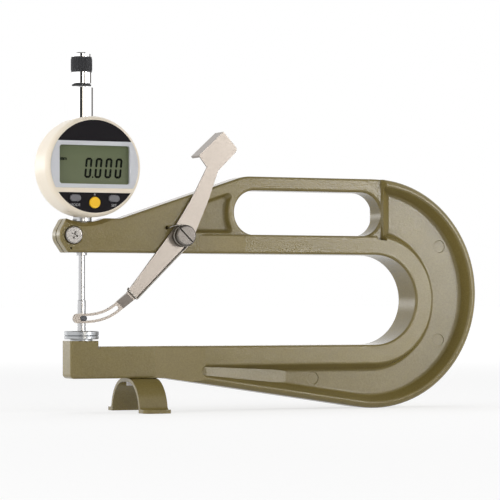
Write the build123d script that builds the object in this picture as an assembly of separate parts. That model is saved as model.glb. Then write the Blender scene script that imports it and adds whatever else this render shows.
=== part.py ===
from build123d import *
import math
import os

os.makedirs("parts", exist_ok=True)

# Thickness gauge with a deep throat, a digital indicator and a lifting lever.
# Millimetres. X runs from the contacts into the throat, Y away from the viewer, Z up.
# The origin is the centre of the anvil face, on the measuring axis.

# Measuring range and contacts
travel = 25.0
contact_d = 20.2
contact_edge = 0.4
upper_contact_h = 2.7
anvil_h = 2.1
anvil_neck_d = 12.9
anvil_neck_h = 0.9
anvil_shank_d = 8.0
anvil_shank_h = 12.0
anvil_screw_d = 3.4
anvil_screw_hold = 5.0
spindle_d = 4.0
running_gap = 0.05
lift_sleeve_d = 5.0
lift_sleeve_h = 18.0
stud_d = 2.5
stud_h = 4.0

# Frame casting, seen from the front
arm_half = 7.5
band_half = 12.0
web_half = 4.0
throat_r = 27.25
throat_top_z = 48.2
end_x = 185.7
rim_r = 69.6
rim_z = 24.8
rim_w = 4.1
band_w = 11.35
wall_angle = 24.0
rim_round = 3.0
arm_top_z = 68.2
lower_nose_x = -9.3
lower_arm_z = -25.0
knee_x = 48.5
pad_right_x = 7.7
relief_w = 1.5
relief_h = 1.1
nose_corner_x = -11.4
nose_tip_x = -17.3
nose_tip_z = 57.7
nose_foot_x = -10.7
handle_slope = 0.334
handle_start_x = 21.95
handle_bar_h = 8.3
slot_lead = 6.4
slot_right_x = 191.3
block_right_x = 194.0
step_run = 4.0
web_tip_gap = 2.0
web_tip_run = 13.5
web_ramp_run = 54.0
tip_depth = 2.2
web_lip = 1.2
web_root = 2.0
pocket_gap = 5.7
pocket_arc_r = 24.0
pocket_rail = 8.2
pocket_low_l = 28.5
pocket_top_l = 21.5
pocket_corner = 2.0
pocket_lip = 0.8
pocket_root = 1.5
edge_round = 1.3
slot_round = 1.6
lower_ramp_x = (43.0, 73.0)
upper_ramp_x = (71.0, 99.0)
block_ramp_x = (191.4, 193.0)
block_foot = 2.0
slit_w = 1.2
ejector_d = 7.5
ejector_depth = 0.3
ejectors = ((233.3, 53.9), (232.6, -3.8), (146.8, -26.4))

# Indicator
lcd_w = 42.8
lcd_h = 22.2
lcd_rise = 0.95
lcd_border = 1.5
lens_border = 2.14
bezel_w = 2.3
dial_gap = 0.1
face_y = -22.0
split_y = -9.0
back_y = 8.0
shell_wall = 2.6
fascia_t = 1.4
plate_t = 1.6
fascia_gap = 0.05
lens_rise = 14.45
lens_drop = 12.4
keypad_drop = 15.1
board_gap = 2.2
board_t = 1.6
stem_d = 8.0
stem_tip_d = 6.4
stem_tip_h = 1.6
collar_d = 11.9
collar_hold = 3.3
tube_d = 13.5
tube_bore_d = 9.0
tube_h = 18.5
tube_foot_gap = 0.6
seal_r = 5.6
seal_h = 1.2
knob_gap = 0.2
knob_r = 5.7
knob_sleeve_h = 6.7
knob_socket = 5.0
grip_r = 6.25
grip_h = 9.0
grip_teeth = 22
ring_r = 5.3
ring_h = 1.7
cap_h = 1.4
cover_edge = 7.5
cover_t = 1.8
battery_d = 20.0
battery_t = 3.2
battery_cover_d = 22.0

# Buttons
button_proud = 0.9
button_gap = 0.15
pill_w = 6.6
pill_h = 3.9
pill_x = 11.8
pill_drop = 18.3
round_d = 6.5
round_drop = 20.8

# Lever
pivot_x = 59.75
pivot_z = 58.4
lever_t = 1.5
washer_t = 0.5
shoulder_d = 7.0
head_d = 12.5
head_t = 2.8
boss_r = 7.0
finger_t = 1.0
finger_w = 5.6
finger_gap = 0.25
pin_z = 10.0
pin_d = 2.2
pin_gap = 0.2
pin_head_d = 3.4
pin_head_t = 0.8
thumb_l = 11.0
finger_span = (-3.8, 9.6)
slot_span = (-1.0, 6.6)
wire_d = 1.0
coil_turns = 3
coil_r = 4.7
spring_leg = 9.2

# Outlines of the lever's parts, as (x, z) from the pivot
finger_arm = ((-5.6, 4.2), (-35.1, -33.4), (-30.1, -37.4), (-27.4, -35.6), (4.9, -5.0))
finger_arm_end = (-32.6, -35.4)
thumb_arm_left = ((-5.8, 3.8), (-1.8, 10.1), (7.6, 25.2), (15.8, 41.0))
thumb_arm_right = ((23.2, 39.9), (21.0, 34.2), (16.4, 21.2), (9.4, 5.2), (5.8, -3.8))
thumb_fold = ((10.4, 47.5), (26.0, 61.9))
thumb_corner = (35.6, 51.5)
thumb_foot = ((23.2, 39.2), (15.8, 40.5))
spring_hook = (-35.1, -31.4)
spring_bend = (-26.5, -37.2)

# Foot
foot_x = (27.3, 44.6)
foot_t = 2.2
flange_w = 9.1
flange_corner = 5.0
arch_flat = 7.2
arch_bend = 2.0

# Values that follow from the ones above
fascia_r = math.hypot(lcd_w / 2, lcd_h / 2 + lcd_rise) + lens_border
dial_r = fascia_r + bezel_w
dial_z = arm_top_z + dial_r + dial_gap
lcd_z = dial_z + lcd_rise
lens_top_z = dial_z + lens_rise
lens_bottom_z = dial_z - lens_drop
keypad_top_z = dial_z - keypad_drop
pill_z = dial_z - pill_drop
round_z = dial_z - round_drop
cover_r = dial_r - cover_edge
collar_top_z = arm_top_z + dial_gap + collar_hold
tube_top_z = dial_z + dial_r + tube_h
tube_foot_z = dial_z + cover_r + tube_foot_gap
belly_d = math.hypot(end_x - knee_x, rim_z - lower_arm_z)
belly_lean = math.asin(rim_r / belly_d) - math.atan2(rim_z - lower_arm_z, end_x - knee_x)
throat_z = throat_top_z - throat_r
throat_bottom_z = throat_z - throat_r
band_r = throat_r + band_w
pad_z = -anvil_h - anvil_neck_h
rim_top_z = rim_z + rim_r
ground_z = rim_z - rim_r
slot_bottom_z = throat_z + band_r
slot_top_z = rim_top_z - handle_bar_h
shoulder_x = handle_start_x + (rim_top_z - arm_top_z) / handle_slope
slot_left_x = shoulder_x - slot_lead
slot_mid_z = (slot_top_z + slot_bottom_z) / 2
wall_run = (band_half - web_half) * math.tan(math.radians(wall_angle))
scallop_r = dial_r + 2.5
scallop_z = dial_z - scallop_r
stem_tip_z = throat_top_z - stem_tip_h
lever_turn = travel / pivot_x
lever_back_y = -arm_half - washer_t
lever_front_y = lever_back_y - lever_t
head_back_y = lever_front_y - coil_turns * wire_d - 0.3
arch_r = lower_arm_z - ground_z
flange_half = arch_flat / 2 + arch_r + flange_w
finger_back_y = -lift_sleeve_d / 2 - finger_gap
finger_front_y = finger_back_y - finger_t
clamp_x = -7.7
clamp_z = 58.2
clamp_head_d = 10.2
lens_front_y = face_y - 0.3
plate_front_y = face_y + fascia_t
board_y = plate_front_y + plate_t + board_gap
knob_z = tube_top_z + seal_h + knob_gap
grip_z = knob_z + knob_sleeve_h
knob_ring_z = grip_z + grip_h
knob_cap_z = knob_ring_z + ring_h


def front(shape, near, far):
    """A flat shape drawn as seen from the front, filling Y from near to far."""
    return extrude(Plane.XZ.offset(-far) * shape, amount=far - near)


def polygon(points):
    return make_face(Polyline(*points, close=True))


def disc_at(x, z, radius, near, far):
    return front(Pos(x, z) * Circle(radius), near, far)


def upright(diameter, low, high, x=0.0, y=0.0):
    """A round bar standing along Z."""
    return Pos(x, y, low) * extrude(Circle(diameter / 2), amount=high - low)


def turned(points):
    """A ring turned about the measuring axis from (radius, height) points."""
    return revolve(Plane.XZ * polygon(points), Axis.Z)


def dial_turned(points):
    """A ring turned about the axis of the dial from (depth, radius) points."""
    shape = polygon([(y, dial_z + r) for y, r in points])
    return revolve(Plane.YZ * shape, Axis((0, 0, dial_z), (0, 1, 0)))


def both_sides(shape):
    return shape + mirror(shape, Plane.XZ)


def belly_touch(offset):
    """Where the sloping lower edge, moved inwards by offset, meets the rim's arc."""
    r = rim_r - offset
    return (end_x - r * math.sin(belly_lean), rim_z - r * math.cos(belly_lean))


def belly(offset, x):
    """Height of the sloping lower edge, moved inwards by offset, at x."""
    touch = belly_touch(offset)
    return touch[1] + math.tan(belly_lean) * (touch[0] - x)


def frame_outline():
    touch = belly_touch(0)
    edges = [
        Line((lower_nose_x, lower_arm_z), (knee_x, lower_arm_z)),
        Line((knee_x, lower_arm_z), touch),
        ThreePointArc(touch, (end_x + rim_r, rim_z), (end_x, rim_top_z)),
        Line((end_x, rim_top_z), (shoulder_x, rim_top_z)),
        Line((shoulder_x, rim_top_z), (handle_start_x, arm_top_z)),
        Line((handle_start_x, arm_top_z), (nose_corner_x, arm_top_z)),
        Line((nose_corner_x, arm_top_z), (nose_tip_x, nose_tip_z)),
        Line((nose_tip_x, nose_tip_z), (nose_foot_x, throat_top_z)),
        Line((nose_foot_x, throat_top_z), (end_x, throat_top_z)),
        ThreePointArc((end_x, throat_top_z), (end_x + throat_r, throat_z), (end_x, throat_bottom_z)),
        Line((end_x, throat_bottom_z), (pad_right_x + relief_w, throat_bottom_z)),
        Line(
            (pad_right_x + relief_w, throat_bottom_z),
            (pad_right_x + relief_w / 2, throat_bottom_z - relief_h),
        ),
        Line(
            (pad_right_x + relief_w / 2, throat_bottom_z - relief_h),
            (pad_right_x, throat_bottom_z - relief_h),
        ),
        Line((pad_right_x, throat_bottom_z - relief_h), (pad_right_x, pad_z)),
        Line((pad_right_x, pad_z), (lower_nose_x, pad_z)),
        Line((lower_nose_x, pad_z), (lower_nose_x, lower_arm_z)),
    ]
    corners = [
        (nose_tip_x, nose_tip_z, 8.5),
        (lower_nose_x, lower_arm_z, 2.5),
        (nose_corner_x, arm_top_z, 2.5),
        (nose_foot_x, throat_top_z, 1.0),
        (shoulder_x, rim_top_z, 25.0),
        (handle_start_x, arm_top_z, 12.0),
    ]
    face = make_face(edges)
    for x, z, radius in corners:
        face = fillet([face.vertices().sort_by_distance((x, z, 0))[0]], radius)
    return face


def web_tip():
    """Where the web's floor has narrowed to web_tip_gap on the lower arm."""
    rim_edge = rim_w + wall_run
    touch = belly_touch(rim_edge)
    low = throat_z - band_r - wall_run - web_tip_gap
    return touch[0] - (low - touch[1]) / math.tan(belly_lean)


def web_edges(tip_x, grow):
    """Offsets of the web's two edges, and its rounded end on the lower arm."""
    band_edge = band_r + wall_run - grow
    rim_edge = rim_w + wall_run - grow
    low = belly(rim_edge, tip_x)
    high = throat_z - band_edge
    mid = (tip_x + (low - high) / 2, (low + high) / 2)
    return band_edge, rim_edge, ThreePointArc((tip_x, low), mid, (tip_x, high))


def web_shape(grow):
    """Outline of the web between the throat band and the rim, grow outside its floor."""
    band_edge, rim_edge, tip = web_edges(web_tip(), grow)
    deep = (arm_half - web_half) * math.tan(math.radians(wall_angle))
    left = block_right_x + step_run * (1 - grow / deep)
    top_z = rim_z + math.sqrt((rim_r - rim_edge) ** 2 - (left - end_x) ** 2)
    low_z = throat_z + math.sqrt(band_edge**2 - (left - end_x) ** 2)
    touch = belly_touch(rim_edge)
    return make_face([
        Line((left, low_z), (left, top_z)),
        ThreePointArc((left, top_z), (end_x + rim_r - rim_edge, rim_z), touch),
        Line(touch, tip @ 0),
        tip,
        Line(tip @ 1, (end_x, throat_z - band_edge)),
        ThreePointArc((end_x, throat_z - band_edge), (end_x + band_edge, throat_z), (left, low_z)),
    ])


def web_tip_shape(grow):
    """Outline of the shallow end of the web on the lower arm."""
    band_edge, rim_edge, tip = web_edges(web_tip() - web_tip_run, grow)
    right = web_tip() + web_ramp_run / 2
    return make_face([
        tip,
        Line(tip @ 1, (right, throat_z - band_edge)),
        Line((right, throat_z - band_edge), (right, belly(rim_edge, right))),
        Line((right, belly(rim_edge, right)), tip @ 0),
    ])


def web_pocket():
    """The web's pocket. Its floor rises along the lower arm to a shallow rounded tip."""
    tip_x = web_tip() - web_tip_run
    pocket = sunk(web_shape, web_half, band_half + 1)
    pocket += sunk(web_tip_shape, (web_half + band_half) / 2, band_half + 1)
    ramp = polygon([
        (tip_x - 20, -web_half + 1),
        (tip_x - 20, -band_half + tip_depth),
        (tip_x, -band_half + tip_depth),
        (tip_x + web_ramp_run, -web_half),
        (tip_x + web_ramp_run, -web_half + 1),
    ])
    return pocket - Pos(0, 0, ground_z) * extrude(ramp, amount=rim_r)


def pocket_shape(grow):
    """Outline of the small pocket between the pivot and the handle opening."""
    lean = math.hypot(1, handle_slope)
    low_z = slot_bottom_z + 2.5 - grow
    right_x = slot_left_x + pocket_gap
    points = []
    for x in (slot_left_x - pocket_top_l - grow, right_x):
        points.append((x, arm_top_z + handle_slope * (x - handle_start_x) - pocket_rail + grow * lean))
    points += [(right_x, low_z), (slot_left_x - pocket_low_l - grow, low_z)]
    arc = Pos(slot_left_x - pocket_gap + pocket_arc_r, slot_mid_z) * Circle(pocket_arc_r - grow)
    face = (polygon(points) - arc).face()
    return fillet(face.vertices(), pocket_corner)


def sunk(shape, floor, over):
    """A pocket with sloping walls, from its floor out through the face at over."""
    slope = math.tan(math.radians(wall_angle))
    low = Plane.XZ.offset(floor) * shape((floor - web_half) * slope)
    high = Plane.XZ.offset(over) * shape((over - web_half) * slope)
    return loft([low, high], ruled=True)


def thinned(low, high, ramp):
    """Cutter that thins the casting to the arm, with a ramp up to the band."""
    deep = band_half + 2
    plan = polygon([
        (-30, -arm_half),
        (ramp[0], -arm_half),
        (ramp[1], -band_half),
        (ramp[1], -deep),
        (-30, -deep),
    ])
    return Pos(0, 0, low) * extrude(plan, amount=high - low)


def rim_rounding():
    """Cutter that rounds the front outer edge of the rim, along its arc and the lower edge."""
    r = rim_round
    start = belly_touch(0)
    radial = Plane(origin=(end_x, 0, rim_z), x_dir=(0, 0, 1), z_dir=(1, 0, 0))
    corner = make_face([
        Line((rim_r - r, band_half), (rim_r - r, band_half + 1)),
        Line((rim_r - r, band_half + 1), (rim_r + 1, band_half + 1)),
        Line((rim_r + 1, band_half + 1), (rim_r + 1, band_half - r)),
        Line((rim_r + 1, band_half - r), (rim_r, band_half - r)),
        RadiusArc((rim_r, band_half - r), (rim_r - r, band_half), -r),
    ])
    sweep_angle = 180 + math.degrees(belly_lean)
    arc = revolve(radial * corner, Axis((end_x, 0, rim_z), (0, 1, 0)), revolution_arc=sweep_angle)
    down = Plane(
        origin=(end_x, 0, rim_z),
        x_dir=(start[0] - end_x, 0, start[1] - rim_z),
        z_dir=(start[1] - rim_z, 0, end_x - start[0]),
    )
    line = extrude(down * corner, amount=start[0] - lower_ramp_x[1] + 8)
    return arc + line


def edges_at(body, y):
    """Edges of the body that lie flat at one depth."""
    boxes = [(e, e.bounding_box()) for e in body.edges()]
    return [e for e, box in boxes if abs(box.min.Y - y) < 0.01 and abs(box.max.Y - y) < 0.01]


def follows(edge, shape, away=0.05):
    """Whether the middle of an edge lies on the outline of a flat shape."""
    mid = edge @ 0.5
    return shape.face().outer_wire().distance_to(Vertex(mid.X, mid.Z, 0)) < away


def outer_edges(body, outline):
    """Front edges that run along the outline of the casting."""
    found = []
    for edge in body.edges():
        run = edge @ 1 - edge @ 0
        if (edge @ 0.5).Y < 0.01 - arm_half and abs(run.Y) <= run.length / 2 and follows(edge, outline):
            found.append(edge)
    return found


def half_casting():
    """Front half of the casting, from its middle plane to the viewer."""
    outline = frame_outline()
    body = front(outline, -band_half, 0)
    body -= web_pocket()
    lip = [e for e in edges_at(body, -band_half) if not follows(e, outline)]
    body = fillet(lip, web_lip)
    body = fillet(edges_at(body, -web_half), web_root)
    band = Pos(end_x, throat_z) * Circle(band_r - block_foot)
    band += Pos(0, throat_z) * Rectangle(2 * (end_x + block_foot), 2 * band_r)
    body -= thinned(lower_arm_z - 5, throat_z, lower_ramp_x)
    body -= thinned(throat_z, slot_bottom_z, upper_ramp_x)
    body -= thinned(throat_z, rim_top_z + 5, block_ramp_x) - front(band, -band_half - 5, 0)
    body -= sunk(pocket_shape, web_half, arm_half + 1)
    floor = pocket_shape(0)
    body = fillet([e for e in edges_at(body, -web_half) if follows(e, floor)], pocket_root)
    mouth = pocket_shape((arm_half - web_half) * math.tan(math.radians(wall_angle)))
    body = fillet([e for e in edges_at(body, -arm_half) if follows(e, mouth, 0.2)], pocket_lip)
    slot = Pos((slot_left_x + slot_right_x) / 2, slot_mid_z) * SlotOverall(
        slot_right_x - slot_left_x, slot_top_z - slot_bottom_z
    )
    body -= front(slot, -band_half - 1, 1)
    body = fillet([e for e in edges_at(body, -arm_half) if follows(e, slot)], slot_round)
    edges = outer_edges(body, outline)
    above = [e for e in edges if (e @ 0.5).Z > throat_top_z - 0.1 and (e @ 0.5).X < block_ramp_x[0]]
    throat = [e for e in edges if throat_bottom_z - 0.1 < (e @ 0.5).Z < throat_top_z - 0.1]
    throat = [e for e in throat if lower_ramp_x[0] < (e @ 0.5).X < end_x + throat_r + 0.1]
    below = [e for e in edges if (e @ 0.5).Z < pad_z - edge_round * 4 and (e @ 0.5).X < lower_ramp_x[0]]
    body = fillet(above + throat + below, edge_round)
    band_top = [e for e in body.edges() if follows(e, band) and (e @ 0.5).Y < -arm_half - 0.3]
    band_top = [e for e in band_top if (e @ 0.5).Z > slot_bottom_z - block_foot * 0.6]
    return fillet([e for e in band_top if (e @ 0.5).X < end_x + block_foot + 0.1], web_lip)


def make_frame():
    half = half_casting()
    for x, z in ejectors:
        half -= disc_at(x, z, ejector_d / 2, -web_half - 1, -web_half + ejector_depth)
    half -= rim_rounding()
    body = half + mirror(half, Plane.XZ)
    body -= disc_at(0, dial_z, scallop_r, -band_half, band_half)
    groove = revolve(
        Plane.YZ
        * polygon([
            (-arm_half - 0.5, dial_z + scallop_r + 2.9),
            (-arm_half - 0.5, dial_z),
            (-arm_half + 2.4, dial_z),
            (-arm_half + 2.4, dial_z + scallop_r),
        ]),
        Axis((0, 0, dial_z), (0, 1, 0)),
    )
    body -= both_sides(groove)
    body -= upright(stem_d, throat_top_z - 5, arm_top_z + 5)
    body -= upright(collar_d + 0.4, scallop_z, arm_top_z + 5)
    body -= Pos(nose_tip_x / 2 - 2, 0, nose_tip_z) * Box(-nose_tip_x + 4, slit_w, 40)
    body -= disc_at(clamp_x, clamp_z, 2.6, -band_half, 0)
    body -= disc_at(clamp_x, clamp_z, 2.0, -band_half, 5.0)
    body -= disc_at(clamp_x, clamp_z, clamp_head_d / 2 + 0.4, -band_half, -arm_half + 0.6)
    body -= disc_at(-9.1, 50.6, 0.6, -band_half, -arm_half + 3)
    body -= disc_at(pivot_x, pivot_z, 2.5, -band_half, 1.0)
    body -= disc_at(pivot_x - spring_leg, pivot_z + coil_r, 1.0, -band_half, -arm_half + 4)
    body -= upright(anvil_shank_d, pad_z - anvil_shank_h - 1, pad_z + 5)
    body -= upright(4.0, lower_arm_z - 5, pad_z)
    body -= upright(7.4, lower_arm_z - 5, lower_arm_z + 3)
    for x in foot_screw_x():
        body -= upright(4.0, lower_arm_z - 5, lower_arm_z + 9, x)
    return body


def foot_screw_x():
    mid = (foot_x[0] + foot_x[1]) / 2
    return (mid - 4.2, mid + 4.2)


def make_foot():
    side = arch_flat / 2
    top = lower_arm_z
    low = ground_z
    start = math.degrees(math.asin(foot_t / arch_r))
    outer = CenterArc((side, low), arch_r, start, 90 - start)
    inner = CenterArc((side, low), arch_r - foot_t, 0, 90)
    half = make_face([
        Line((0, top), (side, top)),
        outer,
        Line(outer @ 0, (flange_half, low + foot_t)),
        Line((flange_half, low + foot_t), (flange_half, low)),
        Line((flange_half, low), inner @ 0),
        inner,
        Line((side, top - foot_t), (0, top - foot_t)),
        Line((0, top - foot_t), (0, top)),
    ])
    bend = half.vertices().sort_by_distance(((outer @ 0).X, low + foot_t, 0))[0]
    half = fillet([bend], arch_bend)
    shape = half + mirror(half, Plane.YZ)
    body = Pos(foot_x[0], 0, 0) * extrude(Plane.YZ * shape, amount=foot_x[1] - foot_x[0])
    uprights = body.edges().filter_by(Axis.Z)
    body = fillet(uprights.filter_by(lambda e: abs(e.center().Y) > flange_half - 0.01), flange_corner)
    for x in foot_screw_x():
        body -= upright(4.4, lower_arm_z - 5, lower_arm_z + 5, x)
    return body


def make_foot_screw(x):
    screw = upright(4.0, lower_arm_z - foot_t, lower_arm_z + 8, x)
    screw += upright(7.0, lower_arm_z - foot_t - 2.2, lower_arm_z - foot_t, x)
    screw -= Pos(x, 0, lower_arm_z - foot_t - 2.2) * Box(1.0, 8, 2.0)
    return screw


def make_anvil():
    r = contact_d / 2
    e = contact_edge
    body = turned([
        (0, 0),
        (r - e, 0),
        (r, -e),
        (r, e - anvil_h),
        (r - e, -anvil_h),
        (anvil_neck_d / 2, -anvil_h),
        (anvil_neck_d / 2, pad_z),
        (anvil_shank_d / 2, pad_z),
        (anvil_shank_d / 2, pad_z - anvil_shank_h),
        (0, pad_z - anvil_shank_h),
    ])
    low = pad_z - anvil_shank_h
    return body - upright(anvil_screw_d, low - 1, low + anvil_screw_hold + 1)


def make_anvil_screw():
    screw = upright(anvil_screw_d, lower_arm_z + 2.9, pad_z - anvil_shank_h + anvil_screw_hold)
    screw += upright(7.2, lower_arm_z + 0.2, lower_arm_z + 2.9)
    return screw - Pos(0, 0, lower_arm_z + 0.2) * Box(8, 1.0, 2.2)


def make_clamp_screw():
    top = -arm_half - 1.9
    seat = -arm_half + 0.6
    screw = disc_at(clamp_x, clamp_z, clamp_head_d / 2, top, seat)
    rim = screw.edges().filter_by(lambda e: abs(e.center().Y - top) < 0.01)
    screw = fillet(rim, 0.8)
    screw += disc_at(clamp_x, clamp_z, 2.0, seat, 4.5)
    for turn in (20, 110):
        bar = Pos(clamp_x, 0, clamp_z) * Rot(0, turn, 0) * Box(4.6, 2.6, 1.1)
        screw -= Pos(0, top, 0) * bar
    return screw


def make_pivot_screw():
    top = head_back_y - head_t
    screw = disc_at(pivot_x, pivot_z, head_d / 2, top, head_back_y)
    rim = screw.edges().filter_by(lambda e: abs(e.center().Y - top) < 0.01)
    screw = fillet(rim, 1.2)
    screw += disc_at(pivot_x, pivot_z, shoulder_d / 2, head_back_y, -arm_half)
    screw += disc_at(pivot_x, pivot_z, 2.5, -arm_half, 0.5)
    slot = Pos(pivot_x, top, pivot_z) * Rot(0, 45, 0) * Box(head_d + 2, 2.6, 0.9)
    return screw - slot


def make_pivot_washer():
    ring = disc_at(pivot_x, pivot_z, 6.0, lever_back_y, -arm_half)
    return ring - disc_at(pivot_x, pivot_z, shoulder_d / 2, -band_half, 0)


def slot_point(turn):
    """Where the lifting pin sits on the lever when the lever has turned by turn."""
    x = -pivot_x
    z = pin_z - pivot_z + pivot_x * turn
    cx = x * math.cos(turn) - z * math.sin(turn)
    cz = x * math.sin(turn) + z * math.cos(turn)
    return (pivot_x + cx, pivot_z + cz, turn)


def finger_line(start_x, reach):
    """Centre line of the finger as (x, z, slope), from start_x on."""
    points = [(start_x, pin_z, 0.0)]
    steps = 6
    for i in range(steps + 1):
        points.append(slot_point(lever_turn * i / steps))
    x, z, slope = points[-1]
    bend_r = 31.0
    for i in (1, 2, 3):
        turn = slope + reach / bend_r * i / 3
        points.append((
            x + bend_r * (math.sin(turn) - math.sin(slope)),
            z + bend_r * (math.cos(slope) - math.cos(turn)),
            turn,
        ))
    return points


def finger_face(start_x, reach, half, round_far):
    line = finger_line(start_x, reach)
    upper = [(x - half * math.sin(a), z + half * math.cos(a)) for x, z, a in line]
    lower = [(x + half * math.sin(a), z - half * math.cos(a)) for x, z, a in line]
    x, z, a = line[-1]
    far = (x + half * math.cos(a), z + half * math.sin(a))
    edges = [
        Spline(*upper),
        Spline(*lower),
        ThreePointArc(upper[0], (start_x - half, pin_z), lower[0]),
    ]
    if round_far:
        edges.append(ThreePointArc(upper[-1], far, lower[-1]))
    else:
        edges.append(Line(upper[-1], lower[-1]))
    return make_face(edges), (x, z, a)


def from_pivot(points):
    """Points of the lever's outline, given from the pivot."""
    return [(pivot_x + x, pivot_z + z) for x, z in points]


def make_lever():
    """Plate with the boss, the arm to the finger, the arm to the thumb and the thumb tab."""
    plate = Pos(pivot_x, pivot_z) * Circle(boss_r)
    plate += polygon(from_pivot(finger_arm))
    plate += polygon(from_pivot(thumb_arm_left + thumb_arm_right))
    fold = from_pivot(thumb_fold)
    corner = from_pivot([thumb_corner])[0]
    thumb = polygon(fold + [corner] + from_pivot(thumb_foot))
    plate += fillet([thumb.vertices().sort_by_distance((corner[0], corner[1], 0))[0]], 2.5)
    plate -= Pos(pivot_x, pivot_z) * Circle(shoulder_d / 2 + running_gap)
    body = front(plate, lever_front_y, lever_back_y)
    along = Vector(fold[1][0] - fold[0][0], 0, fold[1][1] - fold[0][1])
    tab = Plane(origin=(fold[0][0], lever_front_y, fold[0][1]), x_dir=along, z_dir=(0, 1, 0))
    strip = tab * Pos(along.length / 2, lever_t / 2) * Rectangle(along.length, lever_t)
    body += extrude(strip, amount=thumb_l + lever_t)
    finger, end = finger_face(*finger_span, finger_w / 2, False)
    slot = finger_face(*slot_span, pin_d / 2 + pin_gap, True)[0]
    body += front(finger, finger_front_y, finger_back_y) - front(slot, -band_half, 0)
    arm_end = from_pivot([finger_arm_end])[0]
    start = Vector(arm_end[0], 0, arm_end[1])
    run = Vector(end[0], 0, end[1]) - start
    reach = run.length
    side = Plane(origin=start, x_dir=run, z_dir=run.cross(Vector(0, 1, 0)))
    bend = polygon([
        (-0.8, lever_front_y),
        (0.6, lever_front_y),
        (reach + 0.3, finger_front_y),
        (reach + 0.3, finger_back_y),
        (reach - 0.5, finger_back_y),
        (-0.8, lever_back_y),
    ])
    body += extrude(side * bend, amount=finger_w / 2 + 0.1, both=True)
    return body


def make_return_spring():
    """Torsion spring: a coil round the shoulder, a leg in the frame, a leg on the lever."""
    first_y = lever_front_y - wire_d / 2 - 0.1
    last_y = head_back_y + wire_d / 2 + 0.1
    hook, bend = from_pivot([spring_hook, spring_bend])
    away_x = pivot_x - bend[0]
    away_z = pivot_z - bend[1]
    lean = math.atan2(away_z, away_x) - math.asin(coil_r / math.hypot(away_x, away_z))
    begin = lean - math.pi / 2
    turn = 2 * math.pi * (coil_turns - 1) + math.pi / 2 - begin
    steps = round(turn / math.radians(30))
    points = []
    for i in range(steps + 1):
        angle = begin + turn * i / steps
        y = first_y + (last_y - first_y) * i / steps
        points.append((pivot_x + coil_r * math.cos(angle), y, pivot_z + coil_r * math.sin(angle)))
    lever_leg = [(hook[0], first_y, hook[1]), (bend[0], first_y, bend[1])]
    frame_leg = [
        (pivot_x - spring_leg, last_y, pivot_z + coil_r),
        (pivot_x - spring_leg, -arm_half + 3, pivot_z + coil_r),
    ]
    path = Polyline(*(lever_leg + points + frame_leg))
    start = Plane(origin=path @ 0, z_dir=path % 0)
    section = start * RegularPolygon(wire_d / 2, 6)
    return sweep(section, path=path, transition=Transition.RIGHT)


def make_housing():
    shell = dial_turned([
        (split_y, dial_r - shell_wall),
        (split_y, dial_r),
        (-3.0, dial_r),
        (0.5, dial_r - 0.45),
        (3.5, dial_r - 1.6),
        (6.2, dial_r - 3.4),
        (back_y, dial_r - 5.6),
        (back_y, cover_r + 0.1),
        (back_y - cover_t, cover_r + 0.1),
        (back_y - cover_t, 0),
        (back_y - 2 * cover_t, 0),
        (back_y - 2 * cover_t, dial_r - 2 * shell_wall),
        (1.0, dial_r - shell_wall),
    ])
    shell -= upright(collar_d, 60, collar_top_z + 2)
    shell -= upright(tube_d, tube_foot_z, dial_z + dial_r + 5)
    shell -= disc_at(0, dial_z - 4, battery_d / 2 + 0.3, 0, 20)
    for x, z in back_screw_places():
        shell -= disc_at(x, z, 0.9, 0, 20)
    return shell


def back_screw_places():
    r = cover_r - 3.0
    turns = [math.radians(a) for a in (45, 135, 225, 315)]
    return [(r * math.cos(a), dial_z + r * math.sin(a)) for a in turns]


def make_bezel():
    r = dial_r
    ring = dial_turned([
        (split_y, r - shell_wall),
        (split_y, r),
        (-18.4, r),
        (-20.2, r - 0.4),
        (-21.4, r - 1.1),
        (face_y, r - 1.9),
        (face_y, fascia_r),
        (plate_front_y, fascia_r),
        (plate_front_y, 0),
        (plate_front_y + plate_t, 0),
        (plate_front_y + plate_t, r - shell_wall),
    ])
    bar = Pos(0, (lens_bottom_z + keypad_top_z) / 2) * Rectangle(
        2 * fascia_r + 0.6, lens_bottom_z - keypad_top_z - 2 * fascia_gap
    )
    bar &= Pos(0, dial_z) * Circle(fascia_r + 0.1)
    ring += front(bar, face_y, plate_front_y + 0.5)
    window = Pos(0, lcd_z) * Rectangle(lcd_w + 2 * lcd_border, lcd_h + 2 * lcd_border)
    ring -= front(window, face_y - 1, plate_front_y + plate_t + 1)
    for x, z, shape in button_shapes(button_gap):
        ring -= front(Pos(x, z) * shape, face_y - 2, plate_front_y + plate_t + 1)
    port = Pos(0, -13.5, dial_z) * Rot(0, 25, 0) * Pos(0, 0, -dial_r) * Box(2.6, 1.2, 2.4)
    return ring - port


def button_shapes(gap):
    pill = SlotOverall(pill_w + 2 * gap, pill_h + 2 * gap)
    return [
        (-pill_x, pill_z, pill),
        (0.0, round_z, Circle(round_d / 2 + gap)),
        (pill_x, pill_z, pill),
    ]


def segment(low, high, radius):
    strip = Pos(0, (low + high) / 2) * Rectangle(4 * radius, high - low)
    return (Pos(0, dial_z) * Circle(radius)) & strip


def make_top_fascia():
    face = segment(lens_top_z + fascia_gap, dial_z + 40, fascia_r - fascia_gap)
    return front(face, face_y, plate_front_y)


def make_keypad_fascia():
    face = segment(dial_z - 40, keypad_top_z, fascia_r - fascia_gap)
    for x, z, shape in button_shapes(button_gap):
        face -= Pos(x, z) * shape
    return front(face, face_y, plate_front_y)


def make_lens_frame():
    face = segment(lens_bottom_z, lens_top_z, fascia_r - fascia_gap)
    face -= Pos(0, lcd_z) * RectangleRounded(lcd_w, lcd_h, 1.5)
    return front(face, lens_front_y, plate_front_y)


def make_display_window():
    face = Pos(0, lcd_z) * RectangleRounded(lcd_w - 0.1, lcd_h - 0.1, 1.4)
    return front(face, face_y + 0.1, plate_front_y - 0.1)


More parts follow.
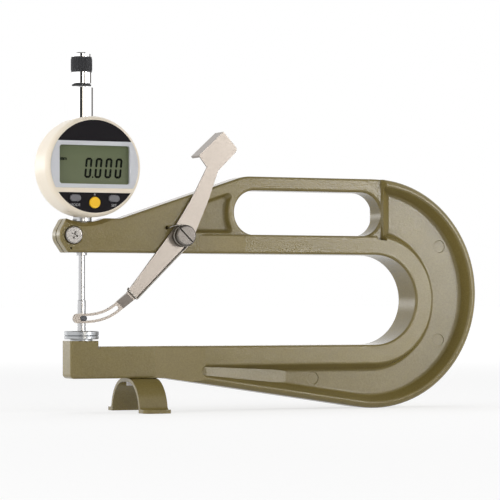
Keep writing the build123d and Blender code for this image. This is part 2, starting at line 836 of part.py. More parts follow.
def make_lcd_panel():
    face = Pos(0, lcd_z) * Rectangle(lcd_w + 2 * lcd_border - 0.2, lcd_h + 2 * lcd_border - 0.2)
    return front(face, plate_front_y, plate_front_y + plate_t)


def make_button(index):
    x, z, shape = button_shapes(0)[index]
    cap = front(Pos(x, z) * shape, face_y - button_proud, plate_front_y + plate_t + 0.3)
    rim = cap.edges().filter_by(lambda e: abs(e.center().Y - face_y + button_proud) < 0.01)
    return fillet(rim, 0.4)


def make_circuit_board():
    return disc_at(0, dial_z, dial_r - shell_wall - 1, board_y, board_y + board_t)


def make_reader_head():
    depth = 11.2
    return Pos(0, board_y + board_t + depth / 2, dial_z - 2) * Box(14, depth, 12)


def make_battery():
    return disc_at(0, dial_z - 4, battery_d / 2, back_y - cover_t - battery_t - 0.2, back_y - cover_t - 0.2)


def make_battery_cover():
    z = dial_z - 4
    cover = disc_at(0, z, battery_cover_d / 2, back_y - cover_t, back_y + 0.4)
    slot = Pos(0, back_y + 0.4, z) * Box(14, 1.6, 1.6)
    return cover - slot


def make_back_cover():
    plate = disc_at(0, dial_z, cover_r, back_y - cover_t, back_y)
    plate -= disc_at(0, dial_z - 4, battery_cover_d / 2 + 0.1, 0, 20)
    for x, z in back_screw_places():
        plate -= disc_at(x, z, 1.1, 0, 20)
        plate -= disc_at(x, z, 1.8, back_y - 0.9, 20)
    return plate


def make_back_screw(x, z):
    screw = disc_at(x, z, 0.8, back_y - 2 * cover_t, back_y - 0.9)
    screw += disc_at(x, z, 1.7, back_y - 0.9, back_y)
    return screw - Pos(x, back_y, z) * Box(2.4, 0.8, 0.5)


def make_stem():
    bore = spindle_d / 2 + running_gap
    return turned([
        (bore, stem_tip_z),
        (stem_tip_d / 2 - 0.3, stem_tip_z),
        (stem_tip_d / 2, stem_tip_z + 0.3),
        (stem_tip_d / 2, throat_top_z + 0.2),
        (stem_d / 2, throat_top_z + 1.0),
        (stem_d / 2, scallop_z + 0.2),
        (collar_d / 2 - 0.4, scallop_z + 0.2),
        (collar_d / 2, scallop_z + 0.6),
        (collar_d / 2, collar_top_z),
        (bore, collar_top_z),
    ])


def make_guard_tube():
    r = tube_d / 2
    return turned([
        (tube_bore_d / 2, tube_foot_z),
        (r, tube_foot_z),
        (r, tube_top_z - 0.8),
        (r - 0.25, tube_top_z - 0.25),
        (r - 0.8, tube_top_z),
        (tube_bore_d / 2, tube_top_z),
    ])


def make_tube_seal():
    bore = spindle_d / 2 + running_gap
    return turned([
        (bore, tube_top_z),
        (seal_r, tube_top_z),
        (seal_r, tube_top_z + seal_h - 0.3),
        (seal_r - 0.3, tube_top_z + seal_h),
        (bore, tube_top_z + seal_h),
    ])


def make_spindle():
    body = upright(spindle_d, upper_contact_h, knob_z + knob_socket)
    return body - upright(stud_d, upper_contact_h - 1, upper_contact_h + stud_h + 0.3)


def make_upper_contact():
    r = contact_d / 2
    e = contact_edge
    return turned([
        (0, 0),
        (r - e, 0),
        (r, e),
        (r, upper_contact_h - e),
        (r - e, upper_contact_h),
        (stud_d / 2, upper_contact_h),
        (stud_d / 2, upper_contact_h + stud_h),
        (0, upper_contact_h + stud_h),
    ])


def make_lift_sleeve():
    r = lift_sleeve_d / 2
    low = upper_contact_h
    return turned([
        (spindle_d / 2, low),
        (r, low),
        (r, low + 2.3),
        (r - 0.25, low + 2.3),
        (r - 0.25, low + 2.7),
        (r, low + 2.7),
        (r, low + lift_sleeve_h - 0.3),
        (r - 0.3, low + lift_sleeve_h),
        (spindle_d / 2, low + lift_sleeve_h),
    ])


def make_lift_pin():
    front_y = finger_front_y - finger_gap
    inner = disc_at(0, pin_z, pin_d / 2, front_y, -lift_sleeve_d / 2 + 0.3)
    inner -= upright(lift_sleeve_d, 0, 40)
    head = disc_at(0, pin_z, pin_head_d / 2, front_y - pin_head_t, front_y)
    return inner + head


def make_knob_sleeve():
    return turned([
        (spindle_d / 2, knob_z),
        (knob_r - 0.3, knob_z),
        (knob_r, knob_z + 0.3),
        (knob_r, grip_z),
        (0, grip_z),
        (0, knob_z + knob_socket),
        (spindle_d / 2, knob_z + knob_socket),
    ])


def make_knob_grip():
    """Knurled grip, with teeth cut along it and both ends drawn in."""
    points = []
    for i in range(grip_teeth * 2):
        r = grip_r - 0.45 * (i % 2)
        a = math.pi * i / grip_teeth
        points.append((r * math.cos(a), r * math.sin(a)))
    barrel = turned([
        (0, grip_z),
        (grip_r - 0.35, grip_z),
        (grip_r, grip_z + 1.6),
        (grip_r, knob_ring_z - 1.8),
        (grip_r - 0.35, knob_ring_z),
        (0, knob_ring_z),
    ])
    return Pos(0, 0, grip_z) * extrude(polygon(points), amount=grip_h) & barrel


def make_knob_ring():
    return upright(2 * ring_r, knob_ring_z, knob_cap_z)


def make_knob_cap():
    """Low dome on top of the knob."""
    return turned([
        (0, knob_cap_z),
        (ring_r, knob_cap_z),
        (ring_r - 0.4, knob_cap_z + cap_h * 0.5),
        (ring_r - 1.7, knob_cap_z + cap_h * 0.85),
        (0, knob_cap_z + cap_h),
    ])


def make_scale():
    strip = Pos(0, -2.6, dial_z - 10.0) * Box(5.0, 1.6, 22)
    return strip - upright(spindle_d, dial_z - 40, dial_z + 40)


parts = {
    "frame": make_frame(),
    "foot": make_foot(),
    "foot_screw_left": make_foot_screw(foot_screw_x()[0]),
    "foot_screw_right": make_foot_screw(foot_screw_x()[1]),
    "anvil": make_anvil(),
    "anvil_screw": make_anvil_screw(),
    "clamp_screw": make_clamp_screw(),
    "pivot_screw": make_pivot_screw(),
    "pivot_washer": make_pivot_washer(),
    "indicator_housing": make_housing(),
    "indicator_bezel": make_bezel(),
    "top_fascia": make_top_fascia(),
    "keypad_fascia": make_keypad_fascia(),
    "lens_frame": make_lens_frame(),
    "display_window": make_display_window(),
    "lcd_panel": make_lcd_panel(),
    "circuit_board": make_circuit_board(),
    "reader_head": make_reader_head(),
    "battery": make_battery(),
    "battery_cover": make_battery_cover(),
    "back_cover": make_back_cover(),
    "mounting_stem": make_stem(),
    "guard_tube": make_guard_tube(),
    "tube_seal": make_tube_seal(),
    "spindle": make_spindle(),
    "upper_contact": make_upper_contact(),
    "lifting_sleeve": make_lift_sleeve(),
    "lifting_pin": make_lift_pin(),
    "measuring_scale": make_scale(),
    "knob_sleeve": make_knob_sleeve(),
    "knob_grip": make_knob_grip(),
    "knob_ring": make_knob_ring(),
    "knob_cap": make_knob_cap(),
    "lever": make_lever(),
    "return_spring": make_return_spring(),
    "mode_button": make_button(0),
    "zero_button": make_button(1),
    "set_button": make_button(2),
}
for number, (x, z) in enumerate(back_screw_places(), start=1):
    parts[f"back_screw_{number}"] = make_back_screw(x, z)

for name, shape in parts.items():
    export_step(shape, f"parts/{name}.step")
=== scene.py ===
import bpy
import math
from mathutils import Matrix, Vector


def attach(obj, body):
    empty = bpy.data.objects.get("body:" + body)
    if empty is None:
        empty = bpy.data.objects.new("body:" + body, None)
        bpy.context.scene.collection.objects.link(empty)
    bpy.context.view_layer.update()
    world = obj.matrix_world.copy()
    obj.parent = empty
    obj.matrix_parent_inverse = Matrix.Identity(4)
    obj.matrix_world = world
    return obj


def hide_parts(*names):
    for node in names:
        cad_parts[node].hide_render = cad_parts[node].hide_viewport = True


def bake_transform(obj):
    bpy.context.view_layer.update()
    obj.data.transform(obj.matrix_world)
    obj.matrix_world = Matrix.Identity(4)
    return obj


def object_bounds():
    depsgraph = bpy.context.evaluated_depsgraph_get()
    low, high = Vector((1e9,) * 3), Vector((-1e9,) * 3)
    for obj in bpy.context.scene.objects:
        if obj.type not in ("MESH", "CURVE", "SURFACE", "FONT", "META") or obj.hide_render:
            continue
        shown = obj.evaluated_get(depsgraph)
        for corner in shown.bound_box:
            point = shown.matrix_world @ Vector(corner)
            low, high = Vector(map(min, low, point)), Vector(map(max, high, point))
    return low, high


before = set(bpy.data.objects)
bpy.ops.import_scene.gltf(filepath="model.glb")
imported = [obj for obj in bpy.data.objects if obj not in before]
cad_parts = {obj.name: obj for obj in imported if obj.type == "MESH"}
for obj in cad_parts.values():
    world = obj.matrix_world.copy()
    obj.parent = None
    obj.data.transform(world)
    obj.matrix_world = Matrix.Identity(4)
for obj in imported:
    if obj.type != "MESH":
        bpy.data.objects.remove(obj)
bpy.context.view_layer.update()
bpy.ops.object.select_all(action="DESELECT")

# Sizes that the new pieces share with the model, in metres
mm = 0.001
lcd_face_y = -20.6 * mm
fascia_y = -22.0 * mm
pivot = Vector((59.75 * mm, 0, 58.4 * mm))
spring_bend = Vector((-29.1, 0, -37.1)) * mm
print_lift = 0.02 * mm


# Colours and materials

def colour(text):
    """An sRGB hex value as linear RGBA."""
    parts = [int(text[i:i + 2], 16) / 255 for i in (1, 3, 5)]
    return [c / 12.92 if c <= 0.04045 else ((c + 0.055) / 1.055) ** 2.4 for c in parts] + [1.0]


def add_node(material, kind, settings=None, sockets=None):
    """Adds a node with its settings, and sets or links its input sockets."""
    tree = material.node_tree
    made = tree.nodes.new(kind)
    for name, value in (settings or {}).items():
        setattr(made, name, value)
    for name, value in (sockets or {}).items():
        if isinstance(value, bpy.types.NodeSocket):
            tree.links.new(value, made.inputs[name])
        else:
            made.inputs[name].default_value = value
    return made


def start_material(name):
    """An empty node material and its output, with object coordinates in metres."""
    material = bpy.data.materials.new(name)
    material.use_nodes = True
    material.node_tree.nodes.clear()
    place = add_node(material, "ShaderNodeTexCoord").outputs["Object"]
    return material, place


def close_material(material, shader):
    """Links the finished shader to the material's output."""
    add_node(material, "ShaderNodeOutputMaterial", sockets={"Surface": shader.outputs[0]})
    return material


def painted_casting():
    """Sprayed enamel on a light alloy casting: glossy, with a fine orange-peel grain."""
    material, place = start_material("olive_texture_enamel")
    # Paint grain about 0.9 mm across, and broad shifts of tone about 30 mm across
    grain = add_node(material, "ShaderNodeTexNoise", sockets={
        "Vector": place, "Scale": 1150.0, "Detail": 3.0, "Roughness": 0.62,
    })
    drift = add_node(material, "ShaderNodeTexNoise", sockets={
        "Vector": place, "Scale": 34.0, "Detail": 2.0, "Roughness": 0.5,
    })
    speck = add_node(material, "ShaderNodeValToRGB", sockets={"Fac": grain.outputs["Fac"]})
    speck.color_ramp.elements[0].position = 0.30
    speck.color_ramp.elements[0].color = colour("#796b3b")
    speck.color_ramp.elements[1].position = 0.72
    speck.color_ramp.elements[1].color = colour("#877846")
    tone = add_node(material, "ShaderNodeMix", {"data_type": "RGBA", "blend_type": "MULTIPLY"}, {
        0: 0.25, 6: speck.outputs["Color"], 7: drift.outputs["Fac"],
    })
    broken = add_node(material, "ShaderNodeMapRange", sockets={
        "Value": grain.outputs["Fac"], "To Min": 0.16, "To Max": 0.24,
    })
    soft_edge = add_node(material, "ShaderNodeBevel", {"samples": 6}, {"Radius": 0.4 * mm})
    skin = add_node(material, "ShaderNodeBump", sockets={
        "Strength": 0.22, "Distance": 0.25 * mm, "Height": grain.outputs["Fac"],
        "Normal": soft_edge.outputs["Normal"],
    })
    shader = add_node(material, "ShaderNodeBsdfPrincipled", sockets={
        "Base Color": tone.outputs[2], "Roughness": broken.outputs["Result"],
        "Normal": skin.outputs["Normal"], "IOR": 1.5,
    })
    return close_material(material, shader)


def brushed_metal(name, base, rough, line_scale, stretch, depth):
    """Drawn or brushed metal: fine lines along one way that spread its highlights."""
    material, place = start_material(name)
    along = add_node(material, "ShaderNodeMapping", sockets={"Vector": place, "Scale": stretch})
    lines = add_node(material, "ShaderNodeTexNoise", sockets={
        "Vector": along.outputs["Vector"], "Scale": line_scale, "Detail": 2.0,
    })
    matt = add_node(material, "ShaderNodeMapRange", sockets={
        "Value": lines.outputs["Fac"], "To Min": rough * 0.8, "To Max": rough * 1.25,
    })
    skin = add_node(material, "ShaderNodeBump", sockets={
        "Strength": depth, "Distance": 0.05 * mm, "Height": lines.outputs["Fac"],
    })
    tint = add_node(material, "ShaderNodeMix", {"data_type": "RGBA"}, {
        0: lines.outputs["Fac"], 6: colour(base), 7: [c * 0.9 for c in colour(base)[:3]] + [1.0],
    })
    shader = add_node(material, "ShaderNodeBsdfPrincipled", sockets={
        "Base Color": tint.outputs[2], "Metallic": 1.0, "Roughness": matt.outputs["Result"],
        "Normal": skin.outputs["Normal"],
    })
    return close_material(material, shader)


def moulded_plastic(name, base, rough, grain_mm, depth, sheen=0.5):
    """Injection-moulded plastic: an even colour under a faint spark-eroded grain."""
    material, place = start_material(name)
    grain = add_node(material, "ShaderNodeTexNoise", sockets={
        "Vector": place, "Scale": 1000.0 / grain_mm, "Detail": 2.0,
    })
    worn = add_node(material, "ShaderNodeMapRange", sockets={
        "Value": grain.outputs["Fac"], "To Min": rough * 0.85, "To Max": rough * 1.2,
    })
    tint = add_node(material, "ShaderNodeMix", {"data_type": "RGBA"}, {
        0: grain.outputs["Fac"], 6: colour(base), 7: [c * 0.94 for c in colour(base)[:3]] + [1.0],
    })
    skin = add_node(material, "ShaderNodeBump", sockets={
        "Strength": depth, "Distance": 0.05 * mm, "Height": grain.outputs["Fac"],
    })
    shader = add_node(material, "ShaderNodeBsdfPrincipled", sockets={
        "Base Color": tint.outputs[2], "Roughness": worn.outputs["Result"],
        "Normal": skin.outputs["Normal"], "IOR": 1.49, "Specular IOR Level": sheen,
    })
    return close_material(material, shader)


def clear_window():
    """Clear acrylic: see-through, with a light gloss from its polished face."""
    material, place = start_material("clear_acrylic")
    haze = add_node(material, "ShaderNodeTexNoise", sockets={"Vector": place, "Scale": 300.0})
    polish = add_node(material, "ShaderNodeMapRange", sockets={
        "Value": haze.outputs["Fac"], "To Min": 0.05, "To Max": 0.12,
    })
    shader = add_node(material, "ShaderNodeBsdfPrincipled", sockets={
        "Base Color": colour("#202420"), "Roughness": polish.outputs["Result"], "Alpha": 0.06,
        "Specular IOR Level": 0.1,
    })
    return close_material(material, shader)


def liquid_crystal():
    """Reflective liquid crystal panel: grey-green, with painted shade that darkens it a little towards its
    upper edge.
    """
    material, place = start_material("liquid_crystal_panel")
    split = add_node(material, "ShaderNodeSeparateXYZ", sockets={"Vector": place})
    height = add_node(material, "ShaderNodeMapRange", sockets={
        "Value": split.outputs["Z"], "From Min": 86 * mm, "From Max": 110 * mm,
    })
    # Painted shade: the panel's colour runs from lighter at its lower edge to darker at its upper edge
    shade = add_node(material, "ShaderNodeValToRGB", sockets={"Fac": height.outputs["Result"]})
    shade.color_ramp.elements[0].color = colour("#7a8164")
    shade.color_ramp.elements[1].color = colour("#6c7556")
    shader = add_node(material, "ShaderNodeBsdfPrincipled", sockets={
        "Base Color": shade.outputs["Color"], "Roughness": 0.45, "Specular IOR Level": 0.2,
    })
    return close_material(material, shader)


def knurled_grip():
    """Black anodised knurling: fine crossed cuts about 0.8 mm apart."""
    material, place = start_material("black_knurled_grip")
    split = add_node(material, "ShaderNodeSeparateXYZ", sockets={"Vector": place})
    turn = add_node(material, "ShaderNodeMath", {"operation": "ARCTAN2"}, {
        0: split.outputs["Y"], 1: split.outputs["X"],
    })
    cuts = []
    for lean in (1.0, -1.0):
        climb = add_node(material, "ShaderNodeMath", {"operation": "MULTIPLY_ADD"}, {
            0: split.outputs["Z"], 1: lean * 7200.0, 2: 0.0,
        })
        around = add_node(material, "ShaderNodeMath", {"operation": "MULTIPLY_ADD"}, {
            0: turn.outputs["Value"], 1: 44.0, 2: climb.outputs["Value"],
        })
        cuts.append(add_node(material, "ShaderNodeMath", {"operation": "SINE"}, {0: around.outputs["Value"]}))
    both = add_node(material, "ShaderNodeMath", {"operation": "ADD"}, {
        0: cuts[0].outputs["Value"], 1: cuts[1].outputs["Value"],
    })
    skin = add_node(material, "ShaderNodeBump", sockets={
        "Strength": 0.6, "Distance": 0.15 * mm, "Height": both.outputs["Value"],
    })
    shader = add_node(material, "ShaderNodeBsdfPrincipled", sockets={
        "Base Color": colour("#2c2c2f"), "Roughness": 0.5, "Normal": skin.outputs["Normal"],
    })
    return close_material(material, shader)


# Frame and foot
enamel = painted_casting()
# Thumb lever, plated sheet steel
nickel = brushed_metal("brushed_nickel_plate", "#938b83", 0.32, 900.0, (1.0, 1.0, 1.0), 0.005)
# Guard tube and the knob's small turned parts
chrome = brushed_metal("polished_chrome", "#f2f2f2", 0.06, 300.0, (1.0, 1.0, 0.1), 0.01)
# Spindle, its sleeve and the stem
ground = brushed_metal("ground_stainless", "#b4b4b5", 0.20, 900.0, (1.0, 1.0, 0.1), 0.03)
# Anvil and upper contact
lapped = brushed_metal("lapped_tool_steel", "#aaacae", 0.30, 700.0, (1.0, 1.0, 6.0), 0.10)
# Screws and washer
turned = brushed_metal("turned_zinc_steel", "#95918d", 0.28, 1500.0, (1.0, 1.0, 1.0), 0.15)
# Pin that runs in the lever's slot
burnished = brushed_metal("burnished_steel_pin", "#4a4a4c", 0.30, 900.0, (1.0, 1.0, 1.0), 0.05)
# Pivot screw, darker than the others
dull = brushed_metal("dull_turned_steel", "#6f6a65", 0.28, 1500.0, (1.0, 1.0, 1.0), 0.15)
# Torsion spring
wire = brushed_metal("drawn_spring_wire", "#8f8a82", 0.25, 900.0, (1.0, 1.0, 1.0), 0.05)
# Indicator housing, bezel and covers
cream = moulded_plastic("cream_moulded_housing", "#f1e5d1", 0.30, 0.8, 0.03)
# Printed fields above and below the display
black = moulded_plastic("black_printed_membrane", "#1a181b", 0.40, 0.5, 0.03, 0.06)
# Frame around the display, and the scale strip
grey_frame = moulded_plastic("silver_grey_print", "#cccdd1", 0.38, 0.4, 0.02)
# Outer keys
grey_key = moulded_plastic("grey_silicone_key", "#6a696d", 0.50, 0.5, 0.06)
# Middle key
yellow_key = moulded_plastic("yellow_silicone_key", "#fac41c", 0.45, 0.6, 0.08)
# Lit segments of the display
ink = moulded_plastic("black_display_segment", "#090a08", 0.50, 0.5, 0.0, 0.05)
# Key labels
white_print = moulded_plastic("pale_grey_printing", "#a9a8a8", 0.50, 0.5, 0.0)
# Seal and reader head
rubber = moulded_plastic("black_seal_rubber", "#1f1f1f", 0.55, 0.5, 0.05)
# Circuit board
board = moulded_plastic("green_board_laminate", "#2f5a3a", 0.45, 0.6, 0.03)
# Window, display panel and knurled grip
window = clear_window()
panel = liquid_crystal()
grip = knurled_grip()

finishes = {
    "frame": enamel, "foot": enamel,
    "foot_screw_left": turned, "foot_screw_right": turned, "anvil_screw": turned,
    "clamp_screw": turned, "pivot_screw": dull, "pivot_washer": turned,
    "anvil": lapped, "upper_contact": lapped,
    "indicator_housing": cream, "indicator_bezel": cream, "back_cover": cream, "battery_cover": cream,
    "top_fascia": black, "keypad_fascia": black, "lens_frame": grey_frame,
    "display_window": window, "lcd_panel": panel, "circuit_board": board, "reader_head": rubber,
    "battery": ground, "measuring_scale": grey_frame,
    "back_screw_1": turned, "back_screw_2": turned, "back_screw_3": turned, "back_screw_4": turned,
    "mounting_stem": ground, "guard_tube": chrome, "tube_seal": rubber,
    "spindle": ground, "lifting_sleeve": ground, "lifting_pin": burnished,
    "knob_sleeve": chrome, "knob_grip": grip, "knob_ring": chrome, "knob_cap": chrome,
    "lever": nickel, "return_spring": wire,
    "mode_button": grey_key, "zero_button": yellow_key, "set_button": grey_key,
}
for name, finish in finishes.items():
    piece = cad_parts[name]
    piece.data.materials.clear()
    piece.data.materials.append(finish)


# New pieces

def settle(piece, name, material, body=None):
    """Puts a finished piece's place into its mesh, names and paints it, and lets it ride."""
    bpy.ops.object.select_all(action="DESELECT")
    piece.select_set(True)
    bpy.context.view_layer.objects.active = piece
    bpy.ops.object.transform_apply(location=True, rotation=True, scale=True)
    bpy.ops.object.select_all(action="DESELECT")
    piece.name = name
    piece.data.name = name
    piece.data.materials.clear()
    piece.data.materials.append(material)
    if body:
        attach(piece, body)
    return piece


mitre_share = 0.42
segment_depth = 0.05 * mm


def display_bar(length, width, place, turn):
    """One lit bar of a digit: a thin plate with mitred ends."""
    bpy.ops.mesh.primitive_plane_add(size=1, location=place)
    bar = bpy.context.object
    bar.scale = (length, width, 1)
    bpy.ops.object.transform_apply(location=False, rotation=False, scale=True)
    bpy.ops.object.mode_set(mode="EDIT")
    bpy.ops.mesh.select_all(action="SELECT")
    bpy.ops.mesh.bevel(offset=width * mitre_share, segments=1, affect="VERTICES")
    bpy.ops.mesh.extrude_region_move(TRANSFORM_OT_translate={"value": (0, 0, segment_depth)})
    bpy.ops.mesh.select_all(action="SELECT")
    bpy.ops.mesh.normals_make_consistent(inside=False)
    bpy.ops.object.mode_set(mode="OBJECT")
    bar.rotation_euler = (math.radians(90), math.radians(-turn), 0)
    return bar


def digit_zero(x, low_z, height, width, stroke, lean):
    """The bars of a zero: top, foot and four sides, leaning a little to the right."""
    bars = []
    # Shares of the stroke below leave thin gaps between neighbouring bars
    slant = math.tan(math.radians(lean))
    half = height / 2
    for z in (stroke / 2, height - stroke / 2):
        shift = (z - half) * slant
        bars.append(display_bar(width - stroke * 0.9, stroke, (x + shift, lcd_face_y, low_z + z), 0))
    for side in (-1, 1):
        for z in (half * 0.5 + stroke * 0.10, half * 1.5 - stroke * 0.10):
            shift = (z - half) * slant
            where = (x + shift + side * (width - stroke) / 2, lcd_face_y, low_z + z)
            bars.append(display_bar(half - stroke * 0.75, stroke, where, 90 - lean))
    return bars


def join(pieces):
    """Joins the pieces into the first one."""
    bpy.ops.object.select_all(action="DESELECT")
    for piece in pieces:
        piece.select_set(True)
    bpy.context.view_layer.objects.active = pieces[0]
    bpy.ops.object.join()
    return bpy.context.object


# The reading: four zeros, with the point after the first
first_digit_x = -3.4 * mm
digit_pitch = 6.15 * mm
digit_low_z = 90.6 * mm
digit_height = 11.6 * mm
digit_width = 4.1 * mm
digit_stroke = 1.25 * mm
digit_lean = 6.0
point_x = -0.75 * mm
point_size = 1.1 * mm

digits = []
for column in range(4):
    digit_x = first_digit_x + column * digit_pitch
    digits += digit_zero(digit_x, digit_low_z, digit_height, digit_width, digit_stroke, digit_lean)
point_place = (point_x, lcd_face_y, digit_low_z + point_size / 2)
digits.append(display_bar(point_size, point_size, point_place, 0))
settle(join(digits), "reading_digits", ink, "gauge_frame")

# A capital's height as a share of the font's size
capital_share = 0.70


def lettering(text, name, material, x, z, height, y, weight=0.0):
    """Small printed capitals, centred on x, standing on z."""
    bpy.ops.object.text_add(location=(0, 0, 0))
    words = bpy.context.object
    words.data.body = text
    words.data.align_x = "CENTER"
    words.data.size = height / capital_share
    words.data.extrude = print_lift
    words.data.offset = weight
    words.rotation_euler = (math.radians(90), 0, 0)
    words.location = (x, y, z)
    bpy.ops.object.convert(target="MESH")
    settle(bpy.context.object, name, material, "gauge_frame")


label_x = 11.8 * mm
label_z = 74.35 * mm
label_height = 1.5 * mm
label_y = fascia_y - print_lift
lettering("mm", "unit_mark", ink, -18.6 * mm, 100.7 * mm, 1.9 * mm, lcd_face_y - print_lift, 0.14 * mm)
lettering("MODE", "mode_label", white_print, -label_x, label_z, label_height, label_y)
lettering("SET", "set_label", white_print, label_x, label_z, label_height, label_y)

# Small outlined triangle above the middle key
arrow_place = (0, fascia_y, 81.1 * mm)
bpy.ops.mesh.primitive_circle_add(vertices=3, radius=0.75 * mm, fill_type="NGON", location=arrow_place)
arrow = bpy.context.object
bpy.ops.object.mode_set(mode="EDIT")
bpy.ops.mesh.select_all(action="SELECT")
bpy.ops.mesh.inset(thickness=0.18 * mm, depth=0)
bpy.ops.mesh.delete(type="FACE")
bpy.ops.mesh.select_all(action="SELECT")
bpy.ops.mesh.extrude_region_move(TRANSFORM_OT_translate={"value": (0, 0, 0.03 * mm)})
bpy.ops.mesh.select_all(action="SELECT")
bpy.ops.mesh.normals_make_consistent(inside=False)
bpy.ops.object.mode_set(mode="OBJECT")
arrow.rotation_euler = (math.radians(90), 0, 0)
settle(arrow, "upward_mark", white_print, "gauge_frame")


def spring_wire():
    """Torsion spring as one bent wire: a leg in the frame, the coil and a leg hooked on the lever."""
    wire_r = 0.5 * mm
    coil_r = 6.1 * mm
    turns = 2
    near_y = -12.2 * mm
    far_y = -10.1 * mm
    hole = Vector((-9.2, 0, 4.7)) * mm
    hook = Vector((-34.4, 0, -32.2)) * mm
    curl = [Vector((-35.2, -0.4, -31.4)) * mm, Vector((-34.8, -1.2, -30.8)) * mm]
    reach = math.hypot(spring_bend.x, spring_bend.z)
    begin = math.atan2(-spring_bend.z, -spring_bend.x) - math.asin(coil_r / reach) - math.pi / 2
    touch = Vector((coil_r * math.cos(begin), 0, coil_r * math.sin(begin)))
    sweep = 2 * math.pi * turns + math.pi / 2 - begin
    steps = round(sweep / math.radians(20))
    lift = Vector((0, far_y, 0))
    route = [pivot + point + lift for point in reversed(curl)]
    route += [pivot + hook.lerp(spring_bend, share) + lift for share in (0.0, 0.5, 0.93)]
    route.append(pivot + spring_bend + lift)
    route += [pivot + spring_bend.lerp(touch, share) + lift for share in (0.04, 0.5, 0.93)]
    for i in range(steps + 1):
        angle = begin + sweep * i / steps
        y = far_y + (near_y - far_y) * i / steps
        route.append(pivot + Vector((coil_r * math.cos(angle), y, coil_r * math.sin(angle))))
    # The leg leaves the coil level and drops towards its hole
    for share, drop in ((0.40, 0.0), (0.75, 0.25), (0.95, 0.75)):
        route.append(pivot + Vector((hole.x * share, near_y, coil_r + (hole.z - coil_r) * drop)))
    route += [pivot + hole + Vector((0, near_y * 0.97, 0)), pivot + hole + Vector((0, -4.6 * mm, 0))]
    line = bpy.data.curves.new("torsion_spring", "CURVE")
    line.dimensions = "3D"
    line.bevel_depth = wire_r
    line.bevel_resolution = 3
    line.use_fill_caps = True
    spline = line.splines.new("NURBS")
    spline.points.add(len(route) - 1)
    for point, place in zip(spline.points, route):
        point.co = (*place, 1.0)
    spline.order_u = 3
    spline.use_endpoint_u = True
    spring = bpy.data.objects.new("torsion_spring", line)
    bpy.context.collection.objects.link(spring)
    bpy.context.view_layer.objects.active = spring
    spring.select_set(True)
    bpy.ops.object.convert(target="MESH")
    return settle(bpy.context.object, "torsion_spring", wire)


spring = spring_wire()
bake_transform(spring)
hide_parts("return_spring")


# Floor, light and camera

ground_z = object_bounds()[0].z


def floor_finish():
    """Pale seamless paper: it glows a little, and keeps the soft shadow near the object."""
    material, place = start_material("pale_seamless_paper")
    sight = add_node(material, "ShaderNodeLightPath")
    seen = add_node(material, "ShaderNodeMath", {"operation": "MAXIMUM"}, {
        0: sight.outputs["Is Camera Ray"], 1: sight.outputs["Is Glossy Ray"],
    })
    seen = add_node(material, "ShaderNodeMath", {"operation": "MAXIMUM"}, {
        0: seen.outputs["Value"], 1: sight.outputs["Is Transmission Ray"],
    })
    glow_share = 0.6
    share = add_node(material, "ShaderNodeMath", {"operation": "MULTIPLY"}, {
        0: seen.outputs["Value"], 1: glow_share,
    })
    paper = add_node(material, "ShaderNodeBsdfDiffuse", sockets={"Color": colour("#f4f4f4")})
    away = add_node(material, "ShaderNodeVectorMath", {"operation": "LENGTH"}, {"Vector": place})
    rise = add_node(material, "ShaderNodeMapRange", {"interpolation_type": "SMOOTHSTEP"}, {
        "Value": away.outputs["Value"], "From Min": 0.3, "From Max": 1.8, "To Min": 1.14, "To Max": 1.50,
    })
    glow = add_node(material, "ShaderNodeEmission", sockets={
        "Color": colour("#ffffff"), "Strength": rise.outputs["Result"],
    })
    both = add_node(material, "ShaderNodeMixShader", sockets={
        0: share.outputs["Value"], 1: paper.outputs["BSDF"], 2: glow.outputs["Emission"],
    })
    return close_material(material, both)


bpy.ops.mesh.primitive_plane_add(size=80, location=(0.08, 0, ground_z))
floor = bpy.context.object
floor.name = "studio_floor"
floor.data.materials.append(floor_finish())


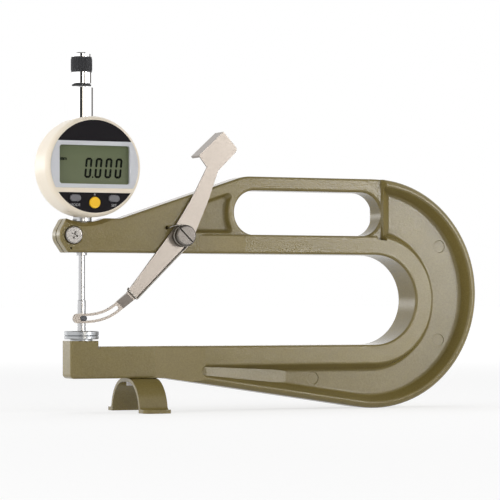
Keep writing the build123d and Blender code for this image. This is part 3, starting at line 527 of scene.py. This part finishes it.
def studio_world():
    """A white studio as gloss and metal mirror it: plain walls, black gaps and two bright panels."""
    world = bpy.data.worlds.new("studio_white")
    bpy.context.scene.world = world
    world.use_nodes = True
    world.node_tree.nodes.clear()
    sight = add_node(world, "ShaderNodeLightPath")
    seen = add_node(world, "ShaderNodeMath", {"operation": "MAXIMUM"}, {
        0: sight.outputs["Is Camera Ray"], 1: sight.outputs["Is Transmission Ray"],
    })
    way = add_node(world, "ShaderNodeTexCoord")
    split = add_node(world, "ShaderNodeSeparateXYZ", sockets={"Vector": way.outputs["Generated"]})
    depth = add_node(world, "ShaderNodeMath", {"operation": "MULTIPLY"}, {0: split.outputs["Y"], 1: -1.0})
    turn = add_node(world, "ShaderNodeMath", {"operation": "ARCTAN2"}, {
        0: split.outputs["X"], 1: depth.outputs["Value"],
    })
    around = add_node(world, "ShaderNodeMapRange", sockets={
        "Value": turn.outputs["Value"], "From Min": -math.pi, "From Max": math.pi,
    })
    walls = add_node(world, "ShaderNodeValToRGB", sockets={"Fac": around.outputs["Result"]})
    plain_wall = "#595959"
    black_gap = "#0b0b0a"
    # Each zone's first and last angle in degrees, from the front towards the right, and its shade
    zones = [
        (-172, -140, "#767676"), (-134, -39, plain_wall), (-35, -7, black_gap), (-4, 6, "#b1aba0"),
        (9, 25, black_gap), (28, 38, "#ffffff"), (41, 92, plain_wall), (98, 138, "#1c1b1a"),
        (144, 172, plain_wall),
    ]
    ramp = walls.color_ramp
    ramp.elements[0].color = colour("#232220")
    ramp.elements[1].color = colour("#232220")
    for first, last, shade in zones:
        for degrees in (first, last):
            stop = ramp.elements.new((degrees + 180) / 360)
            stop.color = colour(shade)
    # Above head height the walls are plain, and the ceiling is darker
    climb = add_node(world, "ShaderNodeMapRange", sockets={
        "Value": split.outputs["Z"], "From Min": 0.12, "From Max": 0.22,
    })
    sides = add_node(world, "ShaderNodeMix", {"data_type": "RGBA"}, {
        0: climb.outputs["Result"], 6: walls.outputs["Color"], 7: colour("#4d4d4d"),
    })
    ceiling = add_node(world, "ShaderNodeMapRange", sockets={
        "Value": split.outputs["Z"], "From Min": 0.70, "From Max": 0.85, "To Min": 1.0, "To Max": 0.2,
    })
    room = add_node(world, "ShaderNodeMix", {"data_type": "RGBA", "blend_type": "MULTIPLY"}, {
        0: 1.0, 6: sides.outputs[2], 7: ceiling.outputs["Result"],
    })
    # What gloss sees, what lights matt surfaces, and what the camera sees
    plain_white = colour("#ffffff")
    mirrored = add_node(world, "ShaderNodeBackground", sockets={"Color": room.outputs[2], "Strength": 16.0})
    ambient = add_node(world, "ShaderNodeBackground", sockets={"Color": plain_white, "Strength": 0.34})
    white = add_node(world, "ShaderNodeBackground", sockets={"Color": plain_white, "Strength": 1.0})
    lit = add_node(world, "ShaderNodeMixShader", sockets={
        0: sight.outputs["Is Glossy Ray"], 1: ambient.outputs["Background"], 2: mirrored.outputs["Background"],
    })
    both = add_node(world, "ShaderNodeMixShader", sockets={
        0: seen.outputs["Value"], 1: lit.outputs["Shader"], 2: white.outputs["Background"],
    })
    add_node(world, "ShaderNodeOutputWorld", sockets={"Surface": both.outputs["Shader"]})


studio_world()


def softbox(name, place, aim, width, height, power):
    """A rectangular lamp that lights surfaces only: gloss mirrors the studio's walls instead."""
    bpy.ops.object.light_add(type="AREA", location=place)
    lamp = bpy.context.object
    lamp.name = name
    lamp.data.shape = "RECTANGLE"
    lamp.data.size = width
    lamp.data.size_y = height
    lamp.data.energy = power
    lamp.visible_glossy = False
    lamp.rotation_euler = (Vector(aim) - Vector(place)).to_track_quat("-Z", "Y").to_euler()


centre = (0.10, 0, 0.03)
softbox("right_softbox", (0.88, -0.56, 0.15), centre, 0.9, 0.9, 7.0)
softbox("left_softbox", (-1.50, -0.30, 0.25), centre, 1.2, 1.2, 19.0)
softbox("top_softbox", (0.1, 0.3, 1.0), centre, 0.9, 0.6, 2.5)

# The photo's view: level, from the front left, through a long lens
view_turn = math.radians(24)
sight_line = bpy.data.cameras.new("photo_camera")
camera = bpy.data.objects.new("photo_camera", sight_line)
bpy.context.collection.objects.link(camera)
camera.location = (-0.50152, -1.36721, 0.017785)
camera.rotation_euler = (math.radians(90), 0, -view_turn)
sight_line.sensor_width = 36
sight_line.lens = 180
sight_line.shift_y = 0.11
sight_line.clip_start = 0.05
bpy.context.scene.camera = camera
bpy.context.scene.view_settings.view_transform = "Standard"
